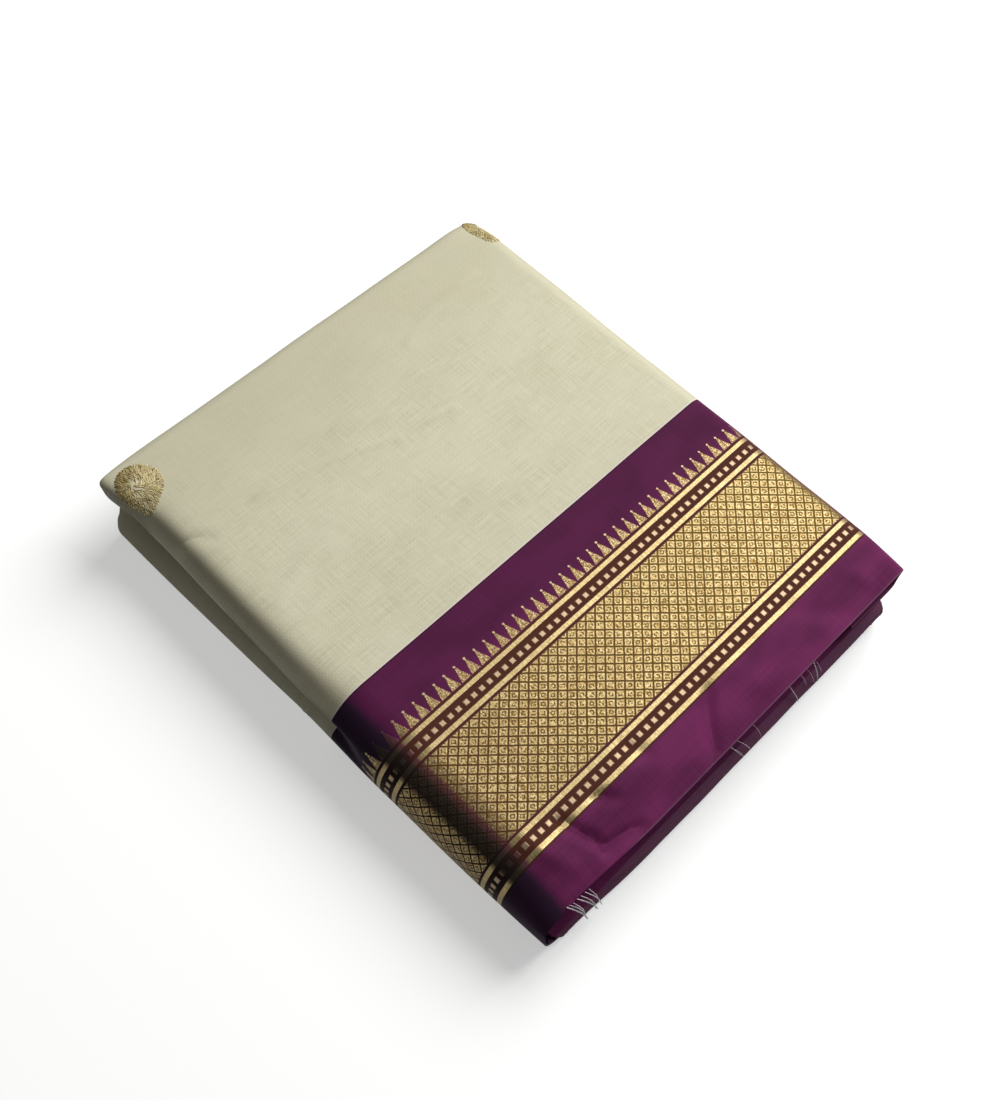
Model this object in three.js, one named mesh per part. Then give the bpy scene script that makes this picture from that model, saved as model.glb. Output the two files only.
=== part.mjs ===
// A saree of cotton and silk, folded for the shelf into a flat packet, with its woven
// border along one side. Folded in four across its width it makes a long strip, and
// the strip is folded over and over along its length and then once more in half.
// Millimetres. X runs along the length of the cloth, Y across its width and Z up.
// The origin lies on the surface that carries the packet, under its middle.
import * as THREE from "three";

// The packet
const LENGTH = 240;
const HEIGHT = 41.6;
const MIDDLE = HEIGHT / 2;
const BORDER_LINE = -12; // where the cream body of the cloth meets its border
const UPPER = { selvedge: -135.5, fold: 139.5, right: LENGTH / 2 };
const LOWER = { selvedge: -140.2, fold: 133, right: 109 };

// The cloth
const CLOTH = 0.4; // one layer, with the air that lies in its folds
const STRIP = 4 * CLOTH; // the width folded in four
const JOIN = 0.3; // clear space between two pieces
const PLIES = 10; // folds of the strip inside each half
const PLY = (MIDDLE - STRIP - 1.5 * JOIN) / PLIES;

// The folds
const LIP = 7; // radius of the long edge along the far side
const LIP_TURN = 80; // degrees that this edge turns down before it ends
const RETURN_END = 84; // how far the strip runs back in between the halves
const BULGE = 10; // radius of each bulge where the book fold is pinched in two
const BULGE_TURN = 160; // degrees that the cloth turns round each bulge
const BULGE_SHARE = 0.86; // its share of the way down to the groove
const GROOVE = 16; // depth of the groove between them
const BOOK = 2.2; // roundness of the book fold, where 2 is a half circle
const CURL = 6; // length of the strip's end that turns up under the lower half
const SAG_REACH = 28; // the selvedge hangs down over this width
const CORNER = 6; // radius of the corners inside
const CLEAR = 0.6; // clear space round the plies, which the strip wraps loosely
const LOOK = 2.5; // how far along Y that space is looked after
const OVERHANG = 8; // the top reaches this far past the plies under it
const NOTCH = 0.8; // depth of the notch between two plies
const UNEVEN = 1.1; // how far a ply may stand in or out

// The book fold, from the selvedge to the far edge. pinch is 0 where it is one round
// fold and 1 where it falls in two, upper and lower are the outermost X of each half.
const BOOK_ROWS = [
  { y: -140, pinch: 0.0, upper: -119.2, lower: -118.6 },
  { y: -90, pinch: 0.0, upper: -120.0, lower: -120.0 },
  { y: -34, pinch: 0.0, upper: -120.0, lower: -120.0 },
  { y: -12, pinch: 0.3, upper: -118.8, lower: -118.4 },
  { y: 8, pinch: 0.7, upper: -118.0, lower: -117.0 },
  { y: 54, pinch: 0.95, upper: -116.0, lower: -116.8 },
  { y: 95, pinch: 1.0, upper: -113.8, lower: -116.4 },
  { y: 118, pinch: 0.9, upper: -114.2, lower: -116.2 },
  { y: 140, pinch: 0.7, upper: -116.4, lower: -115.8 },
];

// How far the top hangs down at the selvedge, along X.
const SAG_ROWS = [
  { x: -120, drop: 6.2 },
  { x: -60, drop: 5.4 },
  { x: 0, drop: 4.2 },
  { x: 60, drop: 3.6 },
  { x: 120, drop: 4.4 },
];

const rad = THREE.MathUtils.degToRad;
const { lerp, clamp, smoothstep } = THREE.MathUtils;

// A value between two rows of a table.
function between(rows, key, at, column) {
  const last = rows.length - 1;
  const i = clamp(rows.findIndex((row) => row[key] > at) - 1, 0, last - 1);
  const j = at >= rows[last][key] ? last - 1 : i;
  const t = clamp((at - rows[j][key]) / (rows[j + 1][key] - rows[j][key]), 0, 1);
  return lerp(rows[j][column], rows[j + 1][column], t);
}

// A small uneven amount between -1 and 1 that is the same at every run.
function uneven(k, seed) {
  return Math.sin(2.4 * k + 1.7 * seed) * Math.cos(1.3 * k * seed + 0.6);
}

// The cloth settles: a point of the upper half sinks near the selvedge, most at the top.
function settle(x, y, z) {
  const reach = smoothstep(UPPER.selvedge + SAG_REACH - y, 0, 2 * SAG_REACH);
  const share = Math.max(0, (z - MIDDLE) / (HEIGHT - MIDDLE));
  return new THREE.Vector3(x, y, z - 2 * between(SAG_ROWS, "x", x, "drop") * reach * share);
}

// A closed mesh from its triangles, turned so that its faces point out.
function solid(name, points, faces, material) {
  let volume = 0;
  for (const [a, b, c] of faces) {
    volume += points[a].dot(points[b].clone().cross(points[c]));
  }
  const index = faces.flatMap(([a, b, c]) => (volume < 0 ? [a, c, b] : [a, b, c]));
  const geometry = new THREE.BufferGeometry().setFromPoints(points);
  geometry.setIndex(index);
  geometry.computeVertexNormals();
  const mesh = new THREE.Mesh(geometry, material);
  mesh.name = name;
  return mesh;
}

// Two triangles for each cell between neighbouring rows of points.
function cells(faces, a, b, c, d) {
  faces.push([a, b, c], [a, c, d]);
}

// One side of the book fold, from its top (turn 0) to its foot (turn 1): two bulges with
// a groove between them, blended at equal heights with one round fold.
function bookFold(row, turn) {
  const share = 2 * Math.min(turn, 1 - turn);
  const angle = rad(90 + BULGE_TURN * Math.min(1, share / BULGE_SHARE));
  const inward = Math.max(0, (share - BULGE_SHARE) / (1 - BULGE_SHARE));
  const split = lerp(BULGE * (1 + Math.cos(angle)), GROOVE, inward);
  const rise = (1 - inward) * (MIDDLE - BULGE * (1 - Math.sin(angle)));
  const round = MIDDLE * (1 - (1 - (rise / MIDDLE) ** BOOK) ** (1 / BOOK));
  const outer = lerp(row.upper, row.lower, smoothstep(turn, 0.4, 0.6));
  const z = turn > 0.5 ? MIDDLE - rise : MIDDLE + rise;
  return { x: outer + lerp(round, split, row.pinch), z };
}

// The outer strip seen along Y: out of the middle, round the right-hand fold, over the
// top, round the book fold on the left and back along the underside.
const FOLD_STEPS = 16;
const AFTER_FOLD = 7; // points from the foot of the book fold to the end of the strip
const TURN_STEPS = 8;

function stripLine(y) {
  const row = {
    pinch: between(BOOK_ROWS, "y", y, "pinch"),
    upper: between(BOOK_ROWS, "y", y, "upper"),
    lower: between(BOOK_ROWS, "y", y, "lower"),
  };
  const low = MIDDLE + JOIN;
  const radius = (HEIGHT - low) / 2;
  const right = UPPER.right - radius;
  const line = [
    { x: RETURN_END, z: low, lip: 0, high: 1 },
    { x: lerp(RETURN_END, right, 0.5), z: low, lip: 0, high: 1 },
  ];
  for (let i = 0; i <= TURN_STEPS; i++) {
    const angle = rad(-90 + (180 * i) / TURN_STEPS);
    const x = right + radius * Math.cos(angle);
    line.push({ x, z: low + radius * (1 + Math.sin(angle)), lip: i / TURN_STEPS, high: 1 });
  }
  for (const x of [60, 0, -60]) line.push({ x, z: HEIGHT, lip: 1, high: 1 });
  for (let i = 0; i <= FOLD_STEPS; i++) {
    const turn = i / FOLD_STEPS;
    line.push({ ...bookFold(row, turn), lip: 1, high: 1 - smoothstep(turn, 0.3, 0.7) });
  }
  for (const x of [-60, 0, 60]) line.push({ x, z: 0, lip: 1, high: 0 });
  const foot = LOWER.right - 2 * CURL;
  for (let i = 0; i <= 3; i++) {
    const t = i / 3;
    line.push({ x: foot + CURL * 1.4 * t, z: 0.35 * CURL * t * t, lip: 1, high: 0 });
  }
  return line;
}

// A point of the outer line moved towards the inside of the packet by depth, square to
// the line's direction halfway between its two sides.
function moveIn(line, i, depth) {
  const way = new THREE.Vector2();
  for (const j of [i, i + 1]) {
    if (j < 1 || j >= line.length) continue;
    way.add(new THREE.Vector2(line[j].x - line[j - 1].x, line[j].z - line[j - 1].z).normalize());
  }
  way.normalize();
  return { x: line[i].x - way.y * depth, z: line[i].z + way.x * depth };
}

// The wall of the outer strip between the border line and one edge. steps are shares of
// the way to the edge, and turns are the degrees by which a lip then turns inwards.
function strip(name, start, edge, steps, turns, material) {
  const count = stripLine(0).length;
  const stations = steps.map((share) => ({ share, turn: 0 }));
  stations.push(...turns.map((turn) => ({ share: 1, turn: rad(turn) })));
  const points = [];
  for (const { share, turn } of stations) {
    for (const depth of [0, STRIP]) {
      for (let i = 0; i < count; i++) {
        const { lip, high } = stripLine(start)[i];
        const end = lerp(edge.lower, edge.upper, high) - edge.lip * lip;
        const y = lerp(start, end, share) + (edge.lip - depth) * lip * Math.sin(turn);
        const turned = edge.lip ? (edge.lip - depth) * lip * (1 - Math.cos(turn)) : 0;
        const at = moveIn(stripLine(y), i, depth + turned);
        points.push(settle(at.x, y, at.z));
      }
    }
  }
  const faces = [];
  const at = (j, inner, i) => (2 * j + inner) * count + i;
  const last = stations.length - 1;
  for (let i = 0; i < count - 1; i++) {
    for (let j = 0; j < last; j++) {
      cells(faces, at(j, 0, i), at(j, 0, i + 1), at(j + 1, 0, i + 1), at(j + 1, 0, i));
      cells(faces, at(j, 1, i + 1), at(j, 1, i), at(j + 1, 1, i), at(j + 1, 1, i + 1));
    }
    cells(faces, at(0, 1, i), at(0, 1, i + 1), at(0, 0, i + 1), at(0, 0, i));
    cells(faces, at(last, 0, i), at(last, 0, i + 1), at(last, 1, i + 1), at(last, 1, i));
  }
  for (let j = 0; j < last; j++) {
    cells(faces, at(j, 1, 0), at(j, 0, 0), at(j + 1, 0, 0), at(j + 1, 1, 0));
    const end = count - 1;
    cells(faces, at(j, 0, end), at(j, 1, end), at(j + 1, 1, end), at(j + 1, 0, end));
  }
  return solid(name, points, faces, material);
}

// The inside of the outer strip where it turns round the book fold, at one y.
function bookInside(y, edge, half) {
  const line = stripLine(y);
  const first = line.length - 1 - FOLD_STEPS - AFTER_FOLD;
  const middle = first + FOLD_STEPS / 2;
  const range = half === UPPER ? [first, middle] : [middle, first + FOLD_STEPS];
  const points = [];
  for (let i = range[0]; i <= range[1]; i++) {
    const end = lerp(edge.lower, edge.upper, line[i].high) - edge.lip;
    const way = edge.lip ? clamp((y - end) / (edge.lip - STRIP), 0, 0.98) : 0;
    const turned = (edge.lip - STRIP) * (1 - Math.sqrt(1 - way * way));
    points.push(moveIn(line, i, STRIP + (edge.lip ? turned : 0)));
  }
  return points;
}

// The leftmost X that a ply may reach at one y and height z. Points a little further on
// in both ways count too, so that the ply stays clear of the curved wall beside it.
function leftLimit(y, z, edge, half) {
  let limit = -LENGTH / 2 + BULGE;
  for (const ahead of [-LOOK, 0, LOOK]) {
    const points = bookInside(y + ahead, edge, half);
    for (let i = 1; i < points.length; i++) {
      const [a, b] = [points[i - 1], points[i]];
      for (const height of [z - CLEAR, z, z + CLEAR]) {
        if ((a.z - height) * (b.z - height) > 0 || a.z === b.z) continue;
        limit = Math.max(limit, lerp(a.x, b.x, (height - a.z) / (b.z - a.z)));
      }
    }
  }
  return limit + CLEAR;
}

// The rightmost X of ply k at height z.
function rightLimit(k, z, half) {
  if (half === UPPER) {
    if (k < 1) return RETURN_END - CLEAR;
    const radius = (MIDDLE - JOIN) / 2;
    const rise = z - HEIGHT + radius;
    const inside = radius - STRIP - CLEAR;
    return UPPER.right - radius + Math.sqrt(Math.max(0, inside ** 2 - rise ** 2));
  }
  const step = Math.max(0, 2 - k);
  return LOWER.right - CURL * step + (k % 2 ? 0 : -1.4 * UNEVEN);
}

// The far edge of a ply at height z, on the side of the folds or of the selvedges.
function farLimit(k, z, half, side) {
  if (side > 0) {
    const depth = half === UPPER ? HEIGHT - STRIP - z : z - STRIP;
    const inside = LIP - STRIP;
    const under = Math.sqrt(Math.max(0, inside ** 2 - Math.max(0, inside - depth) ** 2));
    return half.fold - LIP + Math.min(under, inside - CLEAR) - CLEAR;
  }
  if (half === UPPER) return half.selvedge + OVERHANG + 3 * (1 - k / PLIES);
  return half.selvedge + 0.35 * UNEVEN * Math.abs(k - 5) ** 1.3;
}

// The outline of ply k, seen from above, pulled in by inset.
function plyOutline(k, z, half, side, edge, inset) {
  const near = BORDER_LINE + (side * JOIN) / 2;
  const far = farLimit(k, z, half, side) - side * (inset + UNEVEN * (1 + uneven(k, 3)));
  const right = rightLimit(k, z, half) - inset;
  const left = (y) => leftLimit(y, z, edge, half) + inset;
  const shoulder = far - side * CORNER;
  const outline = [[right, near], [right, lerp(near, shoulder, 0.5)]];
  for (let i = 0; i <= 4; i++) {
    const angle = rad((90 * i) / 4);
    const y = shoulder + side * CORNER * Math.sin(angle);
    outline.push([right - CORNER * (1 - Math.cos(angle)), y]);
  }
  for (const x of [60, 0, -60]) {
    outline.push([x, far - side * 0.5 * UNEVEN * (1 + uneven(k + x / 60, 5))]);
  }
  const corner = left(shoulder) + CORNER;
  for (let i = 0; i <= 4; i++) {
    const angle = rad(90 + (90 * i) / 4);
    const y = shoulder + side * CORNER * Math.sin(angle);
    outline.push([Math.max(corner + CORNER * Math.cos(angle), left(y)), y]);
  }
  for (const share of [0.25, 0.5, 0.75, 1]) {
    const y = lerp(shoulder, near, share);
    outline.push([left(y), y]);
  }
  return outline;
}

// The smaller of two outlines, point by point, for the notch between two plies.
function narrower(a, b, side) {
  return a.map(([x, y], i) => [
    x > 0 ? Math.min(x, b[i][0]) : Math.max(x, b[i][0]),
    side * Math.min(side * y, side * b[i][1]),
  ]);
}

// The folded plies inside one half of the packet, on one side of the border line: one
// solid with a rounded ridge for each ply.
function plies(name, half, side, edge, material) {
  const base = half === UPPER ? MIDDLE + JOIN / 2 : STRIP + JOIN;
  const outlineAt = (k, z, inset) => plyOutline(k, z, half, side, edge, inset);
  const rows = [];
  for (let k = 0; k <= PLIES; k++) {
    const z = base + k * PLY;
    const below = outlineAt(Math.max(0, k - 1), z, NOTCH);
    const above = outlineAt(Math.min(PLIES - 1, k), z, NOTCH);
    rows.push({ z, outline: narrower(below, above, side) });
    if (k === PLIES) break;
    for (const share of [0.3, 0.7]) {
      const crest = z + share * PLY;
      rows.push({ z: crest, outline: outlineAt(k, crest, 0) });
    }
  }
  const points = [];
  const faces = [];
  const count = rows[0].outline.length;
  for (const { z, outline } of rows) {
    for (const [x, y] of outline) points.push(settle(x, y, z));
  }
  for (let j = 1; j < rows.length; j++) {
    for (let i = 0; i < count; i++) {
      const next = (i + 1) % count;
      const [low, high] = [(j - 1) * count, j * count];
      cells(faces, low + i, low + next, high + next, high + i);
    }
  }
  for (const [row, turned] of [[0, true], [rows.length - 1, false]]) {
    const start = row * count;
    const hub = points.length;
    points.push(settle(0, lerp(BORDER_LINE, side * 130, 0.5), rows[row].z));
    for (let i = 0; i < count; i++) {
      const [a, b] = [start + i, start + ((i + 1) % count)];
      faces.push(turned ? [hub, b, a] : [hub, a, b]);
    }
  }
  return solid(name, points, faces, material);
}

// Each piece has a material of its own.
const CREAM = new THREE.Color().setRGB(0.82, 0.8, 0.69, THREE.SRGBColorSpace);
const PURPLE = new THREE.Color().setRGB(0.34, 0.13, 0.26, THREE.SRGBColorSpace);
const cotton = () =>
  new THREE.MeshStandardMaterial({ color: CREAM, roughness: 0.85, metalness: 0 });
const silk = () =>
  new THREE.MeshStandardMaterial({ color: PURPLE, roughness: 0.5, metalness: 0.1 });

// The edges of the wall, and the shares of the way to them where it has a section.
const BODY_EDGE = { upper: UPPER.fold, lower: LOWER.fold, lip: LIP };
const BORDER_EDGE = { upper: UPPER.selvedge, lower: LOWER.selvedge + 3, lip: 0 };
const LIP_TURNS = [20, 40, 60, LIP_TURN];
const BODY_STEPS = [0, 0.12, 0.3, 0.5, 0.72, 0.88, 1];
const BORDER_STEPS = [0, 0.12, 0.27, 0.5, 0.76, 0.84, 0.9, 0.95, 1];

const saree = new THREE.Group();
saree.add(
  strip("outer_body", BORDER_LINE + JOIN / 2, BODY_EDGE, BODY_STEPS, LIP_TURNS, cotton()),
  strip("outer_border", BORDER_LINE - JOIN / 2, BORDER_EDGE, BORDER_STEPS, [], silk()),
  plies("upper_plies_body", UPPER, 1, BODY_EDGE, cotton()),
  plies("upper_plies_border", UPPER, -1, BORDER_EDGE, silk()),
  plies("lower_plies_body", LOWER, 1, BODY_EDGE, cotton()),
  plies("lower_plies_border", LOWER, -1, BORDER_EDGE, silk()),
);

export default saree;
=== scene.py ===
# %% [markdown]
# A saree lies folded on a table: cream cotton and silk, with a purple border of gold
# thread along one side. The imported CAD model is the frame. It gives the folds their
# size and place, and everything here is cloth laid over it. All sizes are in
# millimetres and are turned into metres when a mesh is made.

# %% Load the frame
import math
from functools import partialmethod

import bpy
import numpy as np
from mathutils import Matrix, Vector


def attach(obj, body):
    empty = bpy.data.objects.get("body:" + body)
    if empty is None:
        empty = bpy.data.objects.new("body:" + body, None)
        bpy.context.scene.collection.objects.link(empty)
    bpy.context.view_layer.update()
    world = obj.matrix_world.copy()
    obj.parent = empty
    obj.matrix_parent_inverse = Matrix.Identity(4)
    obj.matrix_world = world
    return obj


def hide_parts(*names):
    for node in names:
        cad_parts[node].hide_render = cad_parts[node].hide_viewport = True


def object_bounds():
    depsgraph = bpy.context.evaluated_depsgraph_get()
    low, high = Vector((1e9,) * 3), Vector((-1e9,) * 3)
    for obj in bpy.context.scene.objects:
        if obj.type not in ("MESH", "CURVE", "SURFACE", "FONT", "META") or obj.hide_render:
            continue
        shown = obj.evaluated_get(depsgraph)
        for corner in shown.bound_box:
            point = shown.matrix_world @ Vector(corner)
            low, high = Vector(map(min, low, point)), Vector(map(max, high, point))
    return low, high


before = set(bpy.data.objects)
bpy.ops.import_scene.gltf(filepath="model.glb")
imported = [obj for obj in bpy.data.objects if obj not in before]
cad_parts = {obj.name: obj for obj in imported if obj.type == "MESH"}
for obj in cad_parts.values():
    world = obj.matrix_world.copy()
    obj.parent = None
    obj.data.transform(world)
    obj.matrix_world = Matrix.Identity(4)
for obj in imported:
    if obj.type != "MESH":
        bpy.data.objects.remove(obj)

MM = 0.001
cad_box = [list(corner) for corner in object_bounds()]
print("CAD box in metres:", cad_box)

# %% [markdown]
# The camera comes first, so that every later choice is judged from where the photo was
# taken. It looks down steeply on the packet, past the corner where the book fold meets
# the selvedges, and it is tilted a little. Its place was worked out from the packet's
# edges and stripes, so it is given as a position and three directions.

# %% Camera
CAMERA_PLACE = (-309.26, -202.27, 619.72)
CAMERA_RIGHT = (0.68622, -0.71937, 0.10777)
CAMERA_UP = (0.58198, 0.63185, 0.51192)
LENS, SENSOR = 51.23, 36.0

right, up = Vector(CAMERA_RIGHT).normalized(), Vector(CAMERA_UP).normalized()
lens = bpy.data.cameras.new("camera")
lens.lens, lens.sensor_width, lens.sensor_fit = LENS, SENSOR, "AUTO"
lens.clip_start, lens.clip_end = 0.05, 50.0
camera = bpy.data.objects.new("camera", lens)
bpy.context.collection.objects.link(camera)
turned = Matrix((right, up, right.cross(up))).transposed().to_4x4()
camera.matrix_world = Matrix.Translation(Vector(CAMERA_PLACE) * MM) @ turned
bpy.context.scene.camera = camera
print("camera", round(camera.location.length * 1000), "mm from the packet's middle")

# %% [markdown]
# The outer size comes from the frame. The sizes of the folds repeat those of the CAD
# source, because this script can't read it. The outer strip is the stretch of cloth that
# shows: it runs out of the middle, round the fold on the right, over the top, round the
# book fold on the left and back underneath. It could be draped by simulation, but a
# folded saree is pressed flat and its folds are known, so a section worked out along the
# path is truer and quicker.

# %% Sizes of the packet
RIGHT, FAR_SIDE, HEIGHT = (round(size / MM, 1) for size in cad_box[1])
MIDDLE = HEIGHT / 2
BORDER_LINE = -12.0  # where the cream body meets the border
LOW = 21.1  # height at which the right-hand fold comes out of the middle
RADIUS = (HEIGHT - LOW) / 2
RETURN_END = 84.0  # where the strip starts, between the two halves
FOOT, FOOT_OUT, FOOT_RISE = 97.0, 8.4, 2.1  # where it ends underneath, and its upturn
STRIP, LAYERS = 1.6, 4  # four layers of cloth make the strip
LIP = 7.0  # radius of the far edge
SAG_REACH = 28.0  # the top sags over twice this width beside the selvedge
FAR = {"upper": FAR_SIDE, "lower": 133.0}
NEAR = {"upper": -135.5, "lower": -137.2}
NEAR_DRAWN = 1.8  # the selvedges draw back this far at the book fold
BOOK = 2.2  # how square the book fold is where it isn't pinched

BOOK_ROWS = [
    # y, pinch, outermost x of the upper half, of the lower half
    (-140, 0, -119.2, -118.6),
    (-90, 0, -120, -120),
    (-34, 0, -120, -120),
    (-12, 0.3, -118.8, -118.4),
    (8, 0.7, -118.4, -117),
    (54, 0.95, -116.1, -116.8),
    (95, 1, -113.9, -116.4),
    (118, 1, -113.9, -116.2),
    (130, 1, -116, -115.8),
    (140, 1, -117.4, -115.8),
]
SAG_ROWS = [(-120, 6.2), (-60, 5.4), (0, 4.2), (60, 3.6), (120, 4.4)]

# The pinched book fold: height, and how far in from its outermost point the cloth is.
# Its upper half ends in a crease, with a deep groove under it.
UPPER_BULGE = [
    (41.6, 17), (41.5, 13.8), (41.2, 11), (40.7, 8.7), (39.9, 6.8), (38.7, 5.2),
    (37, 4), (35.2, 3), (33.6, 1.9), (32.4, 1), (31.5, 0.2), (30.9, 0),
    (30.2, 0.5), (29.4, 1.9), (28.4, 4), (27.2, 6.8), (25.8, 10), (24.3, 12.9),
    (22.6, 15.1), (20.8, 16),
]
LOWER_BULGE = [
    (19.8, 15.5), (18.7, 13), (17.7, 9.6), (16.6, 6), (15.2, 3.1), (13.2, 1.1),
    (10.8, 0.15), (9.4, 0), (7.6, 0.3), (5.4, 1.25), (3.3, 2.9), (1.5, 5.2),
    (0.45, 7.7), (0, 10),
]
# The same at the far end, where the crease climbs to the top and the groove runs out.
UPPER_END = [
    (41.6, 10), (41.57, 8.5), (41.5, 7), (41.4, 5.5), (41.2, 4.1), (40.9, 2.8),
    (40.3, 1.6), (39.5, 0.7), (38.6, 0.15), (37.6, 0), (36.2, 0.25), (34.6, 0.55),
    (32.8, 0.9), (30.8, 1.3), (28.8, 1.7), (26.8, 2.2), (25, 2.8), (23.4, 3.4),
    (22, 4.2), (20.8, 4.8),
]
LOWER_END = [
    (19.8, 4.6), (18.7, 3.6), (17.7, 2.7), (16.6, 1.8), (15.2, 1), (13.2, 0.35),
    *LOWER_BULGE[6:],
]
END_FROM, END_TO = 102.0, 130.0


def smoothstep(x, low, high):
    t = np.clip((x - low) / (high - low), 0.0, 1.0)
    return t * t * (3 - 2 * t)


def lerp(a, b, t):
    return a + (b - a) * t


def from_rows(rows, at, column, soft=9.0):
    """A column of a table at any place, with its corners rounded over soft mm."""
    table = np.array(rows)
    spread = np.linspace(-soft, soft, 7)
    return sum(np.interp(at + s, table[:, 0], table[:, column]) for s in spread) / 7


def through(points):
    """Many points on a smooth curve through a table of points."""
    p = np.array(points)
    p = np.vstack([2 * p[0] - p[1], p, 2 * p[-1] - p[-2]])
    t = np.linspace(0, 1, 12, endpoint=False)[:, None]
    parts = []
    for a, b, c, d in zip(p, p[1:], p[2:], p[3:]):
        parts.append(0.5 * (2 * b + (c - a) * t + (2 * a - 5 * b + 4 * c - d) * t**2
                            + (3 * b - a - 3 * c + d) * t**3))
    return np.vstack(parts + [p[-2:-1]])


def evenly(fine, guide, count):
    """Some of those points, where a guide curve of the same table is evenly divided."""
    along = np.append(0, np.cumsum(np.linalg.norm(np.diff(guide, axis=0), axis=1)))
    even = np.linspace(0, along[-1], count)
    return np.stack([np.interp(even, along, fine[:, k]) for k in (0, 1)], axis=1)


# %% [markdown]
# Every point of the strip's section depends on things that change across the width: how
# far the book fold is pinched, where its two halves end, and how near the far end is. So
# each step of the path keeps its share of each, and the sheet is worked out at once.

# %% The path of the strip
RETURN_STEPS, TURN_STEPS, TOP_STEPS, FOLD_STEPS, UNDER_STEPS = 6, 22, 104, 84, 40


def strip_path():
    """Height, the four parts of x, the share of the lip and of the upper half, and
    what the far end adds to x and to the height."""
    steps = []
    for t in np.linspace(0, 1, RETURN_STEPS, endpoint=False):
        x = lerp(RETURN_END, RIGHT - RADIUS, t)
        steps.append((LOW, x, 0, 0, 0, 0, 1, 0, 0))
    for t in np.linspace(0, 1, TURN_STEPS):
        angle = math.pi * (t - 0.5)
        x = RIGHT - RADIUS + RADIUS * math.cos(angle)
        steps.append((LOW + RADIUS * (1 + math.sin(angle)), x, 0, 0, 0, t, 1, 0, 0))
    for t in np.linspace(0, 1, TOP_STEPS + 1, endpoint=False)[1:]:
        x = lerp(RIGHT - RADIUS, MIDDLE, t)
        steps.append((HEIGHT, x, t, 0, -t * (MIDDLE - UPPER_BULGE[0][1]), 1, 1, 0, 0))
    guide = through(UPPER_BULGE + LOWER_BULGE)
    fold = evenly(guide, guide, FOLD_STEPS)
    at_end = evenly(through(UPPER_END + LOWER_END), guide, FOLD_STEPS)
    for k, (z, pinched) in enumerate(fold):
        rise = min(abs(z - MIDDLE) / MIDDLE, 1)
        whole = MIDDLE * (1 - (1 - rise**BOOK) ** (1 / BOOK))
        turn = k / (FOLD_STEPS - 1)
        lower = smoothstep(turn, 0.4, 0.6)
        high = 1 - smoothstep(turn, 0.3, 0.7)
        more = at_end[k] - fold[k]
        steps.append((z, whole, 1 - lower, lower, pinched - whole, 1, high, more[1], more[0]))
    for t in np.linspace(0, 1, UNDER_STEPS + 1)[1:]:
        x = lerp(MIDDLE, FOOT, t)
        pinch = -(1 - t) * (MIDDLE - LOWER_BULGE[-1][1])
        steps.append((0, x, 0, 1 - t, pinch, 1, 0, 0, 0))
    for t in np.linspace(0, 1, 6)[1:]:
        steps.append((FOOT_RISE * t * t, FOOT + FOOT_OUT * t, 0, 0, 0, 1, 0, 0, 0))
    return np.array(steps, dtype=float).T


PATH = strip_path()
COUNT = PATH.shape[1]
FOLD_START = RETURN_STEPS + TURN_STEPS + TOP_STEPS
print("steps along the strip:", COUNT)

# %% [markdown]
# The materials paint shade where the cloth bends and a highlight on one crease, so they
# need to know where on its path the cloth is. Each point carries three marks: the first
# part of each bend, the side of the book fold, and the crease that the pinched fold ends
# in. The first two carry painted shade, and round a bend the border's silk also shows
# between its gold; the third carries a painted highlight.

# %% Marks along the path
TURN = slice(0, RETURN_STEPS + TURN_STEPS)
CREASE_HEIGHT, CREASE_WIDTH = 31.0, 0.55
step = np.arange(COUNT)
in_fold = (step >= FOLD_START) & (step < FOLD_START + FOLD_STEPS)
fall = np.where(in_fold, np.where(PATH[6] > 0.02, HEIGHT - PATH[0], HEIGHT), 0.0)
MARKS = {
    "bend": smoothstep(fall, 0.4, 2.0) * (1 - smoothstep(fall, 4.5, 10.0)),
    "side": smoothstep(fall, 0.8, 3.2) * in_fold,
    "crease": in_fold * np.exp(-(((PATH[0] - CREASE_HEIGHT) / CREASE_WIDTH) ** 2)),
}
# On the right-hand fold the bend mark is painted shade below the top.
MARKS["bend"][TURN] = 1 - smoothstep(PATH[0, TURN], 38.6, 41.3)

# The near edge draws back in the book fold and beside it, and less at the right.
section_x = PATH[1] - RIGHT * (PATH[2] + PATH[3])
DRAWN = smoothstep(-section_x, 55.0, 105.0) + 0.45 * smoothstep(section_x, 115.0, RIGHT)
DRAWN[in_fold] = 1.0
print("steps in the book fold:", int(in_fold.sum()))

# %% [markdown]
# Now a section at any place across the width is one sum. The inner face of the strip is
# the same line moved in, and at last the whole sheet settles: it hangs down a little
# towards the selvedge and at one corner, as a soft pile does.

# %% The section at any place
def section(y, step):
    """x and z of the strip at y, for steps of the path (arrays of one shape)."""
    z, x, upper, lower, pinch = PATH[:5, step]
    x = (x + upper * from_rows(BOOK_ROWS, y, 2) + lower * from_rows(BOOK_ROWS, y, 3)
         + pinch * from_rows(BOOK_ROWS, y, 1))
    end = smoothstep(y, END_FROM, END_TO)
    return x + end * PATH[7, step], z + end * PATH[8, step]


def moved_in(y, depth):
    """Points of the strip at y, depth mm in from its outer face."""
    step = np.broadcast_to(np.arange(COUNT), y.shape)
    x, z = section(y, step)
    before = section(y, np.maximum(step - 1, 0))
    after = section(y, np.minimum(step + 1, COUNT - 1))
    back = np.stack([x - before[0], z - before[1]])
    ahead = np.stack([after[0] - x, after[1] - z])
    back /= np.maximum(np.linalg.norm(back, axis=0), 1e-6)
    ahead /= np.maximum(np.linalg.norm(ahead, axis=0), 1e-6)
    way = back + ahead
    way /= np.linalg.norm(way, axis=0)
    return x - way[1] * depth, z + way[0] * depth


CORNER_DROP, CORNER_REACH = 4.2, 8.5  # how deep and how wide the corner drops


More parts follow.
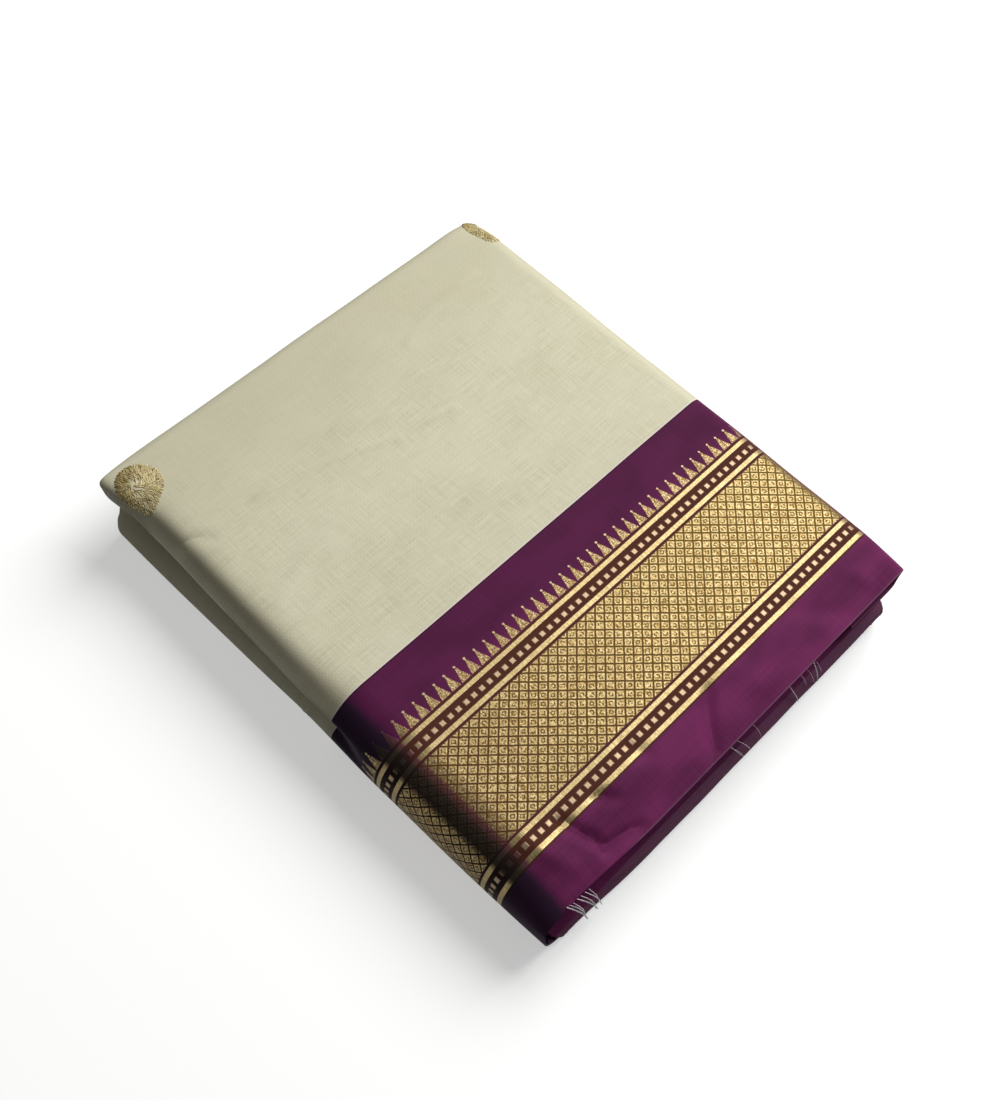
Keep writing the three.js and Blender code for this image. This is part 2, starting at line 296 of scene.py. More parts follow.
def settled(x, y, z):
    """The top hangs down a little towards the selvedge and at the far right corner."""
    reach = smoothstep(NEAR["upper"] + SAG_REACH - y, 0, 2 * SAG_REACH)
    share = np.maximum(0, (z - MIDDLE) / (HEIGHT - MIDDLE))
    drop = from_rows(SAG_ROWS, x, 1)
    from_corner = np.hypot(x - RIGHT, y - FAR["upper"])
    corner = CORNER_DROP * np.exp(-((from_corner / CORNER_REACH) ** 2) / 2)
    return np.stack([x, y, z - (2 * drop * reach + corner) * share], axis=-1)


# %% [markdown]
# Pressed cloth is never quite flat. The long faint ridges on the cream top, the dimple
# by the book fold and the dents in the purple strip are listed one by one, each with its
# own length, height and width. Places are in cloth coordinates: u along the strip, which
# is x on the top, and s across it, which is y. The underside lies at u from -400 to
# -190 and gets a few of its own.

# %% Creases
CREASES = [
    # u and s of one end, u and s of the other end, rise, width
    (-72, 84, -5, 65, 1, 1.8), (-5, 65, 26, 60, 0.9, 1.7), (26, 60, 80, 57, 0.65, 2.1),
    (36, 101, 90, 109, 0.6, 2), (-60, 92, -8, 77, -0.4, 4), (-100, 40, -40, 52, 0.5, 4),
    (-112, 88, -100, 82, -1, 2.6), (-30, 12, 40, 20, 0.25, 4), (40, 30, 104, 24, 0.25, 3.6),
    (-88, 118, -40, 122, -0.18, 6), (-20, 118, 70, 128, 0.2, 5),
    (60, 80, 104, 92, -0.15, 5), (-96, 4, -70, 20, 0.16, 3.5),
    (-86, -109, -80, -127, -3, 2.6), (-80, -129, -62, -132.5, -2.6, 2.2),
    (-68, -112, -62, -117, -2.6, 2.3), (-74, -121, -46, -118, 0.9, 3.4),
    (-16, -133, 2, -113, -2.2, 3), (-44, -106, -38, -114, -0.9, 3),
    (14, -108, 24, -128, 0.7, 6), (52, -108, 76, -131, -0.8, 5),
    (92, -116, 98, -130, 0.6, 4), (-102, -106, -95, -126, 1.7, 4.2),
    (-58, -24, -30, -18, 0.15, 4), (-128, 100, -131, 40, 0.25, 2),
    (-150, 60, -153, 10, -0.2, 3), (-330, 80, -250, 95, -0.3, 4),
    (-380, 20, -300, 36, 0.3, 5), (-260, -60, -220, -100, -0.3, 5),
    (118, 20, 122, 70, -0.3, 3), (126, -60, 122, -100, 0.3, 4),
]


def relief(u, s):
    """Height of the creases and of the soft unevenness of the pile below."""
    height = 0.22 * np.sin(u / 21 + s / 43 + 1.3) * np.sin(s / 27 - u / 71 + 0.4)
    height += 0.1 * np.sin(u / 9.5 - s / 31) * np.sin(s / 12.5 + u / 50 + 2.0)
    for u0, s0, u1, s1, rise, width in CREASES:
        du, ds = u1 - u0, s1 - s0
        along = ((u - u0) * du + (s - s0) * ds) / (du * du + ds * ds)
        t = np.clip(along, 0, 1)
        bow = 0.05 * math.hypot(du, ds) * np.sin(math.pi * t)
        away = np.hypot(u - u0 - t * du + bow * 0.3, s - s0 - t * ds - bow)
        fade = 0.35 + 0.65 * np.sin(math.pi * np.clip(0.08 + 0.84 * t, 0, 1)) ** 0.7
        height += rise * fade * np.exp(-((away / width) ** 2))
    return height


# %% [markdown]
# A sheet is a grid: one line of points for each station across the width. The outer face
# comes first, then the edge, then the inner face, so the wall closes on itself like a
# tube pressed flat. At the selvedge the edge shows the four layers of cloth, each a
# little out of line with the next. At the far side the cloth is folded, so its edge is
# one round lip.

# %% The edges of the outer strip
CORNER_PULL = 2.0  # how far the far left corner is drawn in
PINCHED_WALL = 0.6  # the wall is pressed thin where the book fold is pinched
LAYER_EDGE = ((0.1, 0.0), (0.5, 0.3), (0.9, 0.0), (1.0, -0.9))  # depth in it, and out
far_x, far_z = section(np.full(COUNT, 135.0), np.arange(COUNT))
past_corner = in_fold & (far_z < HEIGHT - 1.5)
PULLED = PATH[6] * np.where(past_corner, 1.0, smoothstep(-far_x, 99.0, 114.0))
LIP_SHARE = PATH[5] * (1 - 0.55 * PULLED)


def station(share, start, edges, lip, turn=0.0, depth=0.0, out=0.0):
    """One line of points across the strip's length, before it settles."""
    lip_share, high = LIP_SHARE, PATH[6]
    end = lerp(edges["lower"], edges["upper"], high) - lip * lip_share
    end = end - CORNER_PULL * PULLED if lip else end + NEAR_DRAWN * DRAWN
    bend = (lip - depth) * lip_share if lip else 0.0
    y = lerp(start, end, share) + bend * math.sin(turn) + out
    turned_in = bend * (1 - math.cos(turn))
    x, z = moved_in(y, depth + turned_in)
    across = lerp(start, end, share) + (lip * lip_share * turn if lip else 0.0) + out
    return settled(x, y, z), across + 0 * x


def lengths(rows):
    """The distance along the cloth of each point, 0 in the middle of the top."""
    along = np.cumsum(np.linalg.norm(np.diff(rows, axis=1), axis=2), axis=1)
    along = np.hstack([np.zeros((len(rows), 1)), along])
    middle = slice(TURN.stop, FOLD_START)
    zero = [np.interp(0, -row[middle, 0], a[middle]) for row, a in zip(rows, along)]
    return np.array(zero)[:, None] - along


def outward(rows):
    """Unit normals of a grid of points."""
    along, across = np.gradient(rows, axis=1), np.gradient(rows, axis=0)
    normal = np.cross(along, across)
    return normal / np.maximum(np.linalg.norm(normal, axis=2, keepdims=True), 1e-9)


def uneven(at, seed, size):
    """A smooth uneven line between -1 and 1."""
    return (np.sin(at / size + 1.7 * seed) + 0.6 * np.sin(at / size * 2.3 + 4.1 * seed)
            + 0.3 * np.sin(at / size * 5.9 + 2.9 * seed)) / 1.9


# %% [markdown]
# The wall is put together from those lines. The creases belong to the outer face alone,
# because the layers below bridge them.

# %% Build the outer strip
def rim_of(rows, start, edges, lip, last, side):
    """Lines round the edge of the wall: one round lip, or the edge of each layer."""
    if lip:
        for angle in np.linspace(0, math.pi, 7)[1:-1]:
            depth = STRIP / 2 * (1 - math.cos(angle))
            row, s = station(1, start, edges, lip, last + 0.1 * math.sin(angle), depth)
            yield row, s + depth
        return
    layer = STRIP / LAYERS
    x = rows[-1, :, 0]
    for k in range(LAYERS):
        back = 0.55 * k * (1 + uneven(x, k + 2, 17)) * (k > 0)
        for depth, out in LAYER_EDGE[:3 if k == LAYERS - 1 else 4]:
            yield station(1, start, edges, lip, 0.0, layer * (k + depth), side * (out - back))


def inner_of(start, edges, lip, turns):
    """Lines of the inner face, from the edge back to the start."""
    backs = [(1, turn) for turn in turns[::-1]] + [(k, 0.0) for k in (1, 0.8, 0.5, 0.2, 0)]
    for share, turn in backs:
        y_near = lerp(start, edges["upper"], share)
        pinch = float(from_rows(BOOK_ROWS, np.array(y_near), 1)) if lip else 0.0
        wall = np.where(in_fold, lerp(STRIP, PINCHED_WALL, pinch), STRIP)
        yield station(share, start, edges, lip, turn, wall)


def build_strip(start, edges, lip, steps, turns, side):
    """Points and cloth coordinates of the wall, and how many rows its outer face has."""
    outer = [station(share, start, edges, lip) for share in steps]
    outer += [station(1, start, edges, lip, turn) for turn in turns]
    rows, across = (np.array(part) for part in zip(*outer))
    along = lengths(rows)
    normal = outward(rows)
    if normal[2, FOLD_START - 20, 2] < 0:
        normal = -normal
    rows = rows + normal * relief(along, across)[..., None]
    rows[..., 2] = np.maximum(rows[..., 2], 0.0)
    rest = list(rim_of(rows, start, edges, lip, turns[-1] if turns else 0.0, side))
    rest += inner_of(start, edges, lip, turns)
    rings = np.concatenate([rows, [row for row, _ in rest]])
    s = np.concatenate([across, [s for _, s in rest]])
    u = np.concatenate([along, np.repeat(along[-1:], len(rest), axis=0)])
    return rings, np.stack([u, s], axis=-1), len(rows)


# %% [markdown]
# One helper turns a grid into a mesh. It keeps the cloth coordinates as a UV map in
# millimetres, so every thread of the pattern follows the cloth round its folds.

# %% Make a piece from a grid
def ring_faces(grid):
    """Quads round a grid whose rows close on each other, with a cap at each end."""
    rows, count = grid.shape[:2]
    j, i = np.arange(rows)[:, None], np.arange(count - 1)[None, :]
    a, b = j * count + i, (j + 1) % rows * count + i
    faces = np.stack([a, a + 1, b + 1, b], axis=-1).reshape(-1, 4).tolist()
    first, last = ([k * count + end for k in range(rows)] for end in (0, count - 1))
    return faces + [first, last[::-1]]


def volume(points, faces):
    """Six times the volume inside, below zero if the faces look inwards."""
    corners = (points[face] for face in faces)
    return sum(np.sum(np.cross(p[1:-1], p[2:]) @ p[0]) for p in corners)


def make_piece(name, grid, cloth, material, marks=None):
    """A closed mesh, with its cloth coordinates and marks."""
    points, faces = grid.reshape(-1, 3), ring_faces(grid)
    if volume(points, faces) < 0:
        faces = [face[::-1] for face in faces]
    mesh = bpy.data.meshes.new(name)
    mesh.from_pydata((points * MM).tolist(), [], faces)
    corner = np.empty(len(mesh.loops), dtype=np.int32)
    mesh.loops.foreach_get("vertex_index", corner)
    layer = mesh.uv_layers.new(name="cloth")
    flat = cloth.reshape(-1, 2)[corner].astype(np.float32)
    layer.data.foreach_set("uv", flat.ravel())
    for mark, values in (marks or {}).items():
        kept = mesh.attributes.new(mark, "FLOAT", "POINT")
        kept.data.foreach_set("value", values.ravel().astype(np.float32))
    mesh.polygons.foreach_set("use_smooth", np.ones(len(mesh.polygons), dtype=bool))
    mesh.set_sharp_from_angle(angle=math.radians(48))
    mesh.validate()
    mesh.update()
    mesh.materials.append(material)
    piece = bpy.data.objects.new(name, mesh)
    bpy.context.collection.objects.link(piece)
    print(name, len(mesh.polygons), "faces")
    return piece


def strip_piece(name, rings, cloth, material):
    """A stretch of the outer strip. Its painted shade and highlight marks fade out towards the
    ends of the folds.
    """
    marks = {mark: np.tile(values, (len(rings), 1)) for mark, values in MARKS.items()}
    y = rings[..., 1]
    marks["crease"] *= smoothstep(y, -10.0, 20.0) * smoothstep(-y, -126.0, -110.0)
    marks["bend"] *= 1 - smoothstep(y, 100.0, 118.0)
    return make_piece(name, rings, cloth, material, marks)


# %% [markdown]
# Materials are built with arithmetic nodes on the cloth coordinates. The Loom class
# keeps that readable: each method adds one node and gives back its result.

# %% A loom for materials
class Loom:
    """Adds nodes to one material's tree and joins them up."""

    def __init__(self, name):
        self.material = bpy.data.materials.new(name)
        self.material.use_nodes = True
        self.tree = self.material.node_tree
        self.shader = self.tree.nodes["Principled BSDF"]

    def node(self, kind, **settings):
        made = self.tree.nodes.new(kind)
        for key, value in settings.items():
            setattr(made, key, value)
        return made

    def put(self, socket, value):
        if isinstance(value, bpy.types.NodeSocket):
            self.tree.links.new(value, socket)
        elif isinstance(value, tuple) and len(value) == 3 and socket.type == "RGBA":
            socket.default_value = (*value, 1.0)
        else:
            socket.default_value = value

    def math(self, operation, *values):
        made = self.node("ShaderNodeMath", operation=operation)
        for socket, value in zip(made.inputs, values):
            self.put(socket, value)
        return made.outputs[0]

    add, less = partialmethod(math, "ADD"), partialmethod(math, "SUBTRACT")
    times = partialmethod(math, "MULTIPLY")
    both, either = partialmethod(math, "MINIMUM"), partialmethod(math, "MAXIMUM")

    def ramp(self, value, low, high, start=0.0, end=1.0):
        made = self.node("ShaderNodeMapRange", interpolation_type="SMOOTHSTEP")
        for socket, v in zip(made.inputs, (value, low, high, start, end)):
            self.put(socket, v)
        return made.outputs[0]

    def band(self, value, centre, width, soft=0.25):
        """1 inside a stripe and 0 outside, with soft edges."""
        away = self.math("ABSOLUTE", self.less(value, centre))
        return self.ramp(away, width / 2 - soft / 2, width / 2 + soft / 2, 1.0, 0.0)

    def from_to(self, value, low, high, soft=0.2):
        """1 between two places and 0 outside."""
        return self.both(self.ramp(value, low - soft, low + soft),
                         self.ramp(value, high - soft, high + soft, 1.0, 0.0))

    def from_centre(self, value, pitch):
        """Distance from the middle of a repeat, in mm."""
        turns = self.math("FRACT", self.times(value, 1 / pitch))
        return self.times(self.math("ABSOLUTE", self.less(turns, 0.5)), pitch)

    def cloth(self):
        split = self.node("ShaderNodeSeparateXYZ")
        uv = self.node("ShaderNodeUVMap", uv_map="cloth")
        self.tree.links.new(uv.outputs[0], split.inputs[0])
        return split.outputs[0], split.outputs[1]

    def mark(self, name):
        """A value that was kept at each point of the mesh."""
        return self.node("ShaderNodeAttribute", attribute_name=name).outputs["Fac"]

    def place(self, x, y, z=0.0):
        made = self.node("ShaderNodeCombineXYZ")
        for socket, value in zip(made.inputs, (x, y, z)):
            self.put(socket, value)
        return made.outputs[0]

    def noise(self, u, s, u_size, s_size, detail=2.0, seed=0.0):
        """Smooth noise whose patches are u_size by s_size mm."""
        made = self.node("ShaderNodeTexNoise", noise_dimensions="3D")
        spot = self.place(self.times(u, 1 / u_size), self.times(s, 1 / s_size), seed)
        self.put(made.inputs["Vector"], spot)
        made.inputs["Scale"].default_value = 1.0
        made.inputs["Detail"].default_value = detail
        return made.outputs["Fac"]

    def mix(self, share, a, b):
        made = self.node("ShaderNodeMix", data_type="RGBA")
        self.put(made.inputs["Factor"], share)
        self.put(made.inputs[6], a)
        self.put(made.inputs[7], b)
        return made.outputs[2]

    def over(self, colour, share, amount, tone):
        """The tone laid over a colour, by a share of an amount."""
        return self.mix(self.times(share, amount), colour, tone)

    def bump(self, height, distance, strength=1.0, normal=None):
        made = self.node("ShaderNodeBump")
        made.inputs["Strength"].default_value = strength
        made.inputs["Distance"].default_value = distance * MM
        self.put(made.inputs["Height"], height)
        if normal is not None:
            self.put(made.inputs["Normal"], normal)
        return made.outputs[0]

    def set(self, **values):
        for key, value in values.items():
            self.put(self.shader.inputs[key.replace("_", " ")], value)


# %% [markdown]
# The body is a plain weave of cream cotton and silk. Its yarns are uneven: thick ones
# show as faint pale lines along the cloth, and fewer across it. The weave itself is a
# bump, and the colour wanders a little from yarn to yarn.

# %% The cream cloth
CREAM = (0.630, 0.602, 0.440)
CREAM_DARK = (0.500, 0.472, 0.330)
CREAM_PALE = (0.665, 0.64, 0.49)
# Painted shade in the first part of each bend, and a painted highlight on the crease.
CREAM_BEND_SHADE = (0.42, 0.37, 0.24)
CREAM_CREASE_HIGHLIGHT = (0.88, 0.87, 0.80)
SEAM_PALE = (0.72, 0.60, 0.58)  # the first cream yarns beside the border
YARN = 0.42  # mm from one yarn to the next


def plain_weave(loom, u, s, yarn):
    """Height of a plain weave: yarns go over and under each other in turn."""
    turn = math.pi / yarn
    over = loom.math("SINE", loom.times(u, turn))
    under = loom.math("SINE", loom.times(s, turn))
    return loom.math("MULTIPLY_ADD", loom.times(over, under), 0.5, 0.5)


def cream_cloth():
    loom = Loom("cream_cotton")
    u, s = loom.cloth()
    warp = loom.noise(u, s, 16.0, 0.45, 1.0, 1.0)
    weft = loom.noise(u, s, 0.45, 13.0, 1.0, 2.0)
    slubs = loom.noise(u, s, 19.0, 0.6, 0.0, 3.0)
    cross_slubs = loom.noise(u, s, 0.6, 12.0, 0.0, 4.0)
    cloud = loom.noise(u, s, 40.0, 30.0, 2.0, 5.0)
    grain = loom.noise(u, s, 0.7, 0.7, 1.0, 6.0)
    shade = loom.ramp(loom.add(warp, weft), 0.5, 1.3)
    colour = loom.mix(shade, CREAM_DARK, CREAM)
    colour = loom.over(colour, loom.ramp(slubs, 0.60, 0.78), 0.5, CREAM_PALE)
    colour = loom.over(colour, loom.ramp(cross_slubs, 0.62, 0.8), 0.3, CREAM_DARK)
    colour = loom.over(colour, loom.ramp(cloud, 0.35, 0.7), 0.35, CREAM_PALE)
    colour = loom.over(colour, loom.ramp(grain, 0.45, 0.7), 0.2, CREAM_DARK)
    # Painted shade darkens the first part of each bend, and a painted highlight lightens the
    # crease that the pinched book fold ends in.
    colour = loom.over(colour, loom.mark("bend"), 0.35, CREAM_BEND_SHADE)
    colour = loom.over(colour, loom.mark("crease"), 0.9, CREAM_CREASE_HIGHLIGHT)
    # The cream is darker towards the far edge.
    colour = loom.mix(loom.ramp(s, 60.0, 128.0, 0.0, 0.6), colour, CREAM_DARK)
    colour = loom.over(colour, loom.band(s, BORDER_LINE + 0.35, 0.7, 0.3), 0.55, SEAM_PALE)
    weave = plain_weave(loom, u, s, YARN)
    fine = loom.bump(weave, 0.06, 0.7)
    yarns = loom.add(loom.times(warp, 0.6), loom.times(weft, 0.5))
    rough = loom.bump(yarns, 0.12, 0.7, fine)
    loom.set(Base_Color=colour, Roughness=0.82, Normal=rough)
    loom.set(Sheen_Weight=0.05, Sheen_Roughness=0.5, Specular_IOR_Level=0.12)
    return loom.material


cream = cream_cloth()

# %% [markdown]
# The border is purple silk with gold thread woven over it. Its rows are given by v, their
# distance from the line where the cream begins. All of them repeat evenly, so they are
# worked out with fractions of the cloth coordinates. On the side of the book fold the
# silk is painted nearly black, as painted shade, and it is a darker wine before the
# temple points.

# %% The silk ground
SILK = (0.158, 0.0235, 0.093)
SILK_DARK = (0.088, 0.0145, 0.054)
# Painted shade: the nearly black silk on the side of the book fold.
SILK_SHADE = (0.020, 0.015, 0.030)
WINE = (0.056, 0.0085, 0.035)


def silk_ground(loom, u, s, v):
    warp = loom.noise(u, s, 60.0, 0.8, 3.0, 13.0)
    weft = loom.noise(u, s, 0.8, 40.0, 3.0, 14.0)
    cloud = loom.noise(u, s, 26.0, 16.0, 1.0, 19.0)
    streaks = loom.times(loom.ramp(loom.add(warp, weft), 0.7, 1.3), 0.35)
    patches = loom.times(loom.ramp(cloud, 0.3, 0.7), 0.65)
    silk = loom.mix(loom.add(streaks, patches), SILK_DARK, SILK)
    silk = loom.mix(loom.ramp(v, 16.0, 34.0, 0.6, 0.0), silk, WINE)
    # Painted shade on the side of the book fold.
    return loom.over(silk, loom.mark("side"), 0.85, SILK_SHADE)


# %% [markdown]
# The temple points are a row of stepped triangles, each with a knob on its tip. Their
# width grows by one step for each pick of gold weft.

# %% The temple points
TEMPLE_PITCH, TEMPLE_TIP, TEMPLE_BASE, TEMPLE_WIDTH = 5.94, 20.8, 28.0, 4.9
TEMPLE_STEP = 0.9


def temple_points(loom, u, s, u_thread, v_thread):
    along = loom.from_centre(u_thread, TEMPLE_PITCH)
    step = loom.math("SNAP", loom.less(v_thread, TEMPLE_TIP), TEMPLE_STEP)
    slope = TEMPLE_WIDTH / 2 / (TEMPLE_BASE - TEMPLE_TIP)
    half = loom.math("MULTIPLY_ADD", step, slope, 0.35)
    point = loom.ramp(loom.less(half, along), -0.18, 0.18)
    point = loom.both(point, loom.from_to(v_thread, TEMPLE_TIP, TEMPLE_BASE))
    speckle = loom.ramp(loom.noise(u, s, 0.8, 0.8, 1.0, 15.0), 0.42, 0.52)
    point = loom.times(point, loom.math("MULTIPLY_ADD", speckle, 0.4, 0.6))
    tip = loom.math("POWER", loom.less(v_thread, TEMPLE_TIP - 0.3), 2.0)
    tip = loom.math("SQRT", loom.add(tip, loom.math("POWER", along, 2.0)))
    return point, loom.ramp(tip, 0.45, 0.8, 1.0, 0.0)


# %% [markdown]
# The lattice is a field of small diamonds. Two slanting coordinates make its cells, and
# each cell is filled with gold but for a broken ring in its middle.

# %% The lattice of diamonds
DIAMOND_LONG, DIAMOND_WIDE = 5.95, 5.48
LATTICE = (41.6, 87.6)
MANY_TURNS = 64.0  # keeps the fractions above zero


def diamonds(loom, u, s, u_thread, v_thread):
    p, q = loom.times(u_thread, 1 / DIAMOND_LONG), loom.times(v_thread, 1 / DIAMOND_WIDE)
    cells = []
    for slant in (loom.add(p, q), loom.less(p, q)):
        turn = loom.math("FRACT", loom.add(slant, MANY_TURNS))
        cells.append(loom.math("ABSOLUTE", loom.less(turn, 0.5)))
    reach = loom.either(*cells)
    filled = loom.ramp(reach, 0.385, 0.45, 1.0, 0.0)
    ring = loom.both(loom.ramp(reach, 0.10, 0.15), loom.ramp(reach, 0.20, 0.26, 1.0, 0.0))
    broken = loom.ramp(loom.noise(u, s, 1.6, 1.6, 1.0, 16.0), 0.42, 0.56)
    ring = loom.times(ring, loom.times(broken, 0.8))
    return loom.times(filled, loom.less(1.0, ring))


# %% [markdown]
# A pair of stripes lies on each side of the lattice, with a row of squares between them.
# Both pairs are woven on a band of brown.

# %% Stripes and squares
STRIPES = [(30.4, 2.1), (39.3, 2.2), (89.8, 2.2), (98.9, 2.3)]
SQUARE_PITCH = 4.60
SQUARE_ROWS = [(35.1, 2.3), (94.2, 2.4)]
GROUNDS = [(34.85, 13.2), (94.35, 13.0)]


def bands(loom, v, rows, soft):
    """Stripes along the cloth, each with its middle and width."""
    found = 0.0
    for centre, width in rows:
        found = loom.either(loom.band(v, centre, width, soft), found)
    return found


def squares(loom, u, v):
    beside = loom.from_centre(u, SQUARE_PITCH)
    return loom.both(bands(loom, v, SQUARE_ROWS, 0.7), loom.ramp(beside, 0.9, 1.45, 1.0, 0.0))


# %% [markdown]
# The border's cloth puts the rows together. Gold covers the ground wherever any row is
# woven. The rows wander by half a millimetre, as threads do, and each thread of gold is
# a little paler or deeper than the next. Round a bend the gold turns plum, partly as the
# silk shows between its threads and partly as painted shade, and on the side of the book
# fold it is painted nearly black, as painted shade. Under the lattice the brown turns
# olive towards the right, as painted light.

# %% The border cloth
# OLIVE is painted light on the brown under the lattice. PLUM and NEAR_BLACK are painted shade of
# the gold round a bend and on the side of the book fold; plum is also the silk between its
# threads.
BROWN, OLIVE = (0.075, 0.024, 0.016), (0.16, 0.10, 0.018)
PLUM, NEAR_BLACK = (0.13, 0.035, 0.06), (0.020, 0.015, 0.014)
GOLD, GOLD_PALE = (0.35, 0.265, 0.125), (0.46, 0.365, 0.195)
GOLD_DEEP, ROSE_GOLD = (0.20, 0.12, 0.035), (0.34, 0.24, 0.165)
SEAM_DARK, SELVEDGE = (0.02, 0.008, 0.02), (0.16, 0.09, 0.13)


def border_cloth():
    loom = Loom("purple_silk_and_gold")
    u, s = loom.cloth()
    v = loom.less(BORDER_LINE, s)
    bend, side = loom.mark("bend"), loom.mark("side")
    wander = loom.less(loom.noise(u, s, 3.2, 3.2, 2.0, 11.0), 0.5)
    wander_v = loom.less(loom.noise(u, s, 3.0, 3.0, 2.0, 12.0), 0.5)
    threads_at = (loom.math("MULTIPLY_ADD", wander, 0.55, u),
                  loom.math("MULTIPLY_ADD", wander_v, 0.45, v))

    point, knob = temple_points(loom, u, s, *threads_at)
    inside = loom.from_to(v, *LATTICE)
    lattice = loom.times(inside, diamonds(loom, u, s, *threads_at))
    stripe, square = bands(loom, v, STRIPES, 0.3), squares(loom, u, v)
    gold = loom.either(loom.either(point, knob), loom.either(lattice, loom.either(stripe, square)))

    ground = loom.either(inside, bands(loom, v, GROUNDS, 0.3))
    # Painted light: the brown under the lattice turns olive towards the right. Painted shade: it
    # is nearly black on the side of the book fold.
    brown = loom.mix(loom.times(inside, loom.ramp(u, -190.0, 105.0)), BROWN, OLIVE)
    brown = loom.over(brown, side, 0.9, NEAR_BLACK)
    colour = loom.mix(ground, silk_ground(loom, u, s, v), brown)
    colour = loom.over(colour, loom.band(v, 0.3, 0.6, 0.3), 0.75, SEAM_DARK)

    threads = loom.noise(u, s, 0.5, 7.0, 2.0, 17.0)
    flecks = loom.noise(u, s, 1.1, 1.1, 2.0, 18.0)
    gilt = loom.mix(loom.ramp(threads, 0.40, 0.62), GOLD_DEEP, GOLD)
    gilt = loom.over(gilt, loom.ramp(flecks, 0.46, 0.66), 0.8, GOLD_PALE)
    gilt = loom.over(gilt, loom.either(square, knob), 0.8, ROSE_GOLD)
    gilt = loom.over(gilt, stripe, 0.35, GOLD_PALE)
    # Round a bend the gold turns plum, partly the silk between its threads and partly painted
    # shade, and on the side of the book fold painted shade makes it nearly black.
    plum = loom.mix(side, PLUM, NEAR_BLACK)
    gilt = loom.over(gilt, loom.ramp(bend, 0.05, 0.75), 0.92, plum)
    colour = loom.mix(gold, colour, gilt)
    colour = loom.over(colour, loom.ramp(v, 122.9, 123.4), 0.5, SELVEDGE)

    fine = loom.bump(plain_weave(loom, u, s, 0.36), 0.015, 0.5)
    raised = loom.add(gold, loom.times(loom.times(threads, gold), 0.25))
    loom.set(Base_Color=colour, Normal=loom.bump(raised, 0.16, 0.8, fine))
    loom.set(Metallic=loom.times(loom.times(gold, 0.6), loom.less(1.0, bend)))
    loom.set(Roughness=loom.math("MULTIPLY_ADD", gold, -0.08, 0.52))
    loom.set(Specular_IOR_Level=0.02, Sheen_Weight=0.0)
    return loom.material


purple = border_cloth()

# %% [markdown]
# The stretch that shows is two pieces, as in the frame, because body and border are
# different weaves. The body's far edge turns down over the pile, and the border ends
# flat in its selvedges.

# %% The outer strip
BODY_STEPS = np.linspace(0, 1, 84)
BORDER_STEPS = np.linspace(0, 1, 76)
LIP_TURNS = [math.radians(a) for a in np.linspace(0, 80, 11)[1:]]

rings, cloth, count = build_strip(BORDER_LINE, FAR, LIP, BODY_STEPS, LIP_TURNS, 1)
outer_body = strip_piece("cream_body", rings, cloth, cream)
body_grid, body_cloth = rings[:count], cloth[:count]
rings, cloth, count = build_strip(BORDER_LINE, NEAR, 0.0, BORDER_STEPS, [], -1)
outer_border = strip_piece("purple_border", rings, cloth, purple)
border_grid, border_cloth_uv = rings[:count], cloth[:count]

# %% [markdown]
# Between the two faces of the outer strip lies the rest of the cloth, folded over and
# over. Only its edges can be seen, so each half is a pile with one rounded ridge for
# each fold of the strip, and each ridge wanders a little, as hand-folded cloth does. At
# the right end two folds share one round turn, because the strip turns back there.

# %% The hidden layers
PLIES = 10
PLY = (MIDDLE - STRIP - 0.45) / PLIES
CORNER = 6.0  # radius of a pile's corners, seen from above
LOOSE_CORNER, TIGHT_CORNER = 1.6, 2.6  # those of the lower pile's two near corners
LOOSE_END = 4.5  # how far right the lower pile slides at the selvedge side
INSIDE, WANDER = 2.8, 0.45  # room inside the book fold, and how uneven the sides are
UPPER_FILL = 0.92  # the upper pile leaves room for the dents above it
DRAW_BACK, SHOULDER_BACK = 1.9, 3.6  # it draws back by the book fold, its top more
LOWER_NEAR = [  # height, and how far the lower pile reaches towards the selvedge side
    (0, -137.6), (3, -138.8), (8, -139.3), (10.5, -138.6), (12, -136.8),
    (13.2, -133.5), (14.4, -130), (21, -126),
]
RIDGE = (0.0, 0.1, 0.25, 0.5, 0.75, 0.9)  # levels of one ridge


def left_of(y, z):
    """The book fold's x at y and height z, the furthest in of its neighbourhood."""
    step = np.arange(FOLD_START, FOLD_START + FOLD_STEPS)
    worst = -200.0
    for near in (-3, 0, 3):
        x, heights = section(np.full(len(step), y + near), step)
        for dz in (-0.8, 0, 0.8):
            worst = max(worst, np.interp(-(z + dz), -heights, x))
    return worst


def far_of(k, z, upper, side):
    """How far ply k reaches towards the far side or the selvedge side."""
    if side > 0:
        depth = HEIGHT - STRIP - z if upper else z - STRIP
        inside = LIP - STRIP
        under = math.sqrt(max(0, inside**2 - max(0, inside - depth) ** 2))
        return (FAR["upper"] if upper else FAR["lower"]) - LIP + min(under, inside - 0.6) - 0.6
    if upper:
        return NEAR["upper"] + 8 + 3 * (1 - k / PLIES)
    return from_rows(LOWER_NEAR, z, 1, 0.8)


def right_of(k, z, upper):
    """How far right ply k reaches."""
    if upper:
        if k < 1:
            return RETURN_END - 0.6
        rise = z - HEIGHT + RADIUS
        inside = RADIUS - STRIP - 0.9
        return RIGHT - RADIUS + math.sqrt(max(0, inside**2 - rise**2))
    return 109 - 6.0 * max(0, 2 - k) - 0.9 * (1 + uneven(0.0, (k + 1) // 2, 1.0))


